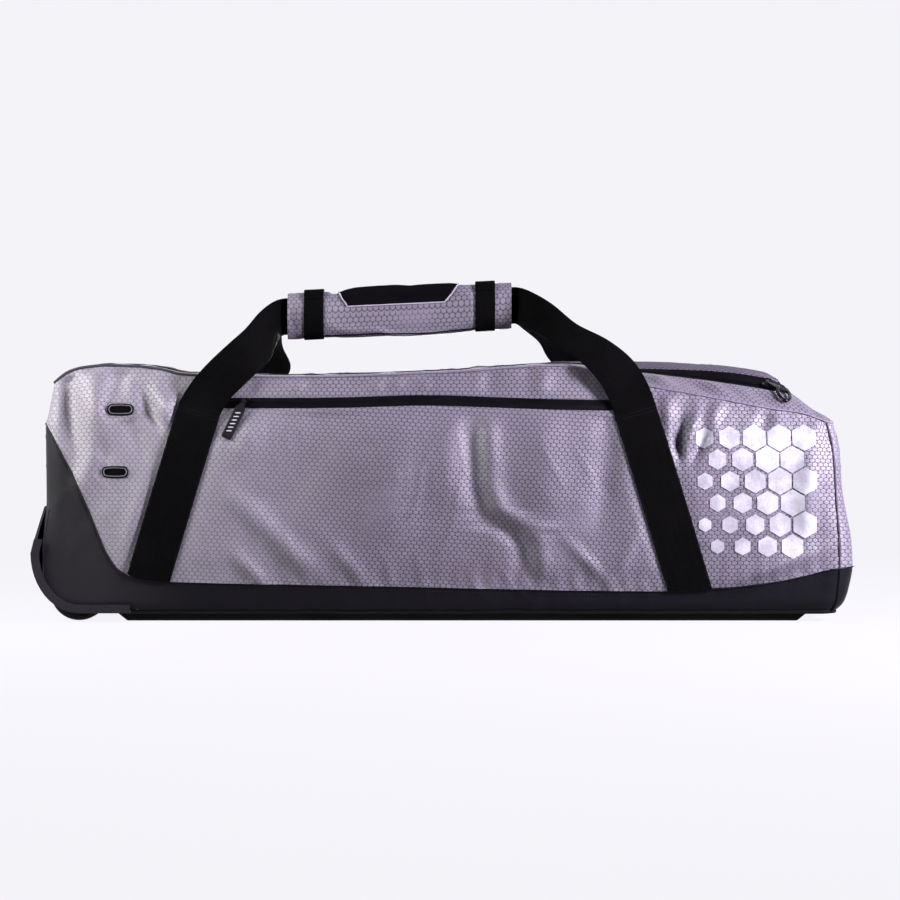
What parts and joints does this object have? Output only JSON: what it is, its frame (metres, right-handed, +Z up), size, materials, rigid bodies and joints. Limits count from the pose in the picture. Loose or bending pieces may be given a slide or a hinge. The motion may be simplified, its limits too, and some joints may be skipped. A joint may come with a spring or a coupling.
{
  "type": "wheeled equipment bag",
  "caption": "Long soft equipment bag with wheels at one end, a zipped lid, a front pocket and carry straps joined by a padded grip.",
  "frame": {"origin": "on the ground under the middle of the bag", "axes": "+Z up, +X towards the end without wheels, -Y towards the side with the pocket"},
  "size_m": [1.067, 0.3777, 0.454],
  "materials": {
    "grey_fabric": "woven cell pattern with a soft sheen",
    "coated_cloth": "coated, semi-matte",
    "webbing": "ribbed weave, matte",
    "zip_tape": "woven tape with a coil",
    "moulded_plastic": "fine moulded grain",
    "wheel_rubber": "matte",
    "hub_plastic": "satin",
    "gunmetal": "polished gunmetal",
    "padded_mesh": "open knit mesh",
    "pull_rubber": "matte"
  },
  "bodies": {
    "bag": {"front_panel": "grey_fabric", "far_end_panel": "grey_fabric", "back_panel": "grey_fabric", "wheel_end_panel": "grey_fabric", "pocket_panel": "grey_fabric", "top_gusset": "grey_fabric", "lid": "grey_fabric", "grip_wrap": "grey_fabric", "base_skirt": "coated_cloth", "base_panel": "coated_cloth", "strap_front": "webbing", "strap_back": "webbing", "grip_band_left": "webbing", "grip_band_right": "webbing", "end_handle": "webbing", "lid_zip": "zip_tape", "pocket_zip": "zip_tape", "wheel_housing": "moulded_plastic", "skid_front": "moulded_plastic", "skid_back": "moulded_plastic", "vent_ring_upper": "moulded_plastic", "vent_ring_lower": "moulded_plastic", "vent_mesh_upper": "padded_mesh", "vent_mesh_lower": "padded_mesh", "grip_mesh": "padded_mesh", "pocket_slider": "gunmetal", "lid_slider": "gunmetal"},
    "wheel_front": {"wheel_tyre_front": "wheel_rubber", "wheel_hub_front": "hub_plastic"},
    "wheel_back": {"wheel_tyre_back": "wheel_rubber", "wheel_hub_back": "hub_plastic"},
    "pocket_pull": {"pocket_pull": "pull_rubber"},
    "lid_pull": {"lid_pull": "gunmetal"}
  },
  "joints": [
    {"name": "wheel_front_spin", "type": "hinge", "parent": "bag", "child": "wheel_front", "pos_m": [-0.477, -0.132, 0.038], "axis": [0, 1, 0], "continuous": true},
    {"name": "wheel_back_spin", "type": "hinge", "parent": "bag", "child": "wheel_back", "pos_m": [-0.477, 0.132, 0.038], "axis": [0, 1, 0], "continuous": true},
    {"name": "pocket_pull_swing", "type": "hinge", "parent": "bag", "child": "pocket_pull", "pos_m": [-0.257, -0.1808, 0.28694], "axis": [-0.8988, 0.1202, 0.4216], "range_deg": [0, 150]},
    {"name": "lid_pull_swing", "type": "hinge", "parent": "bag", "child": "lid_pull", "pos_m": [0.42981, -0.1157, 0.31317], "axis": [-0.0845, -0.9173, -0.3892], "range_deg": [0, 150]}
  ]
}
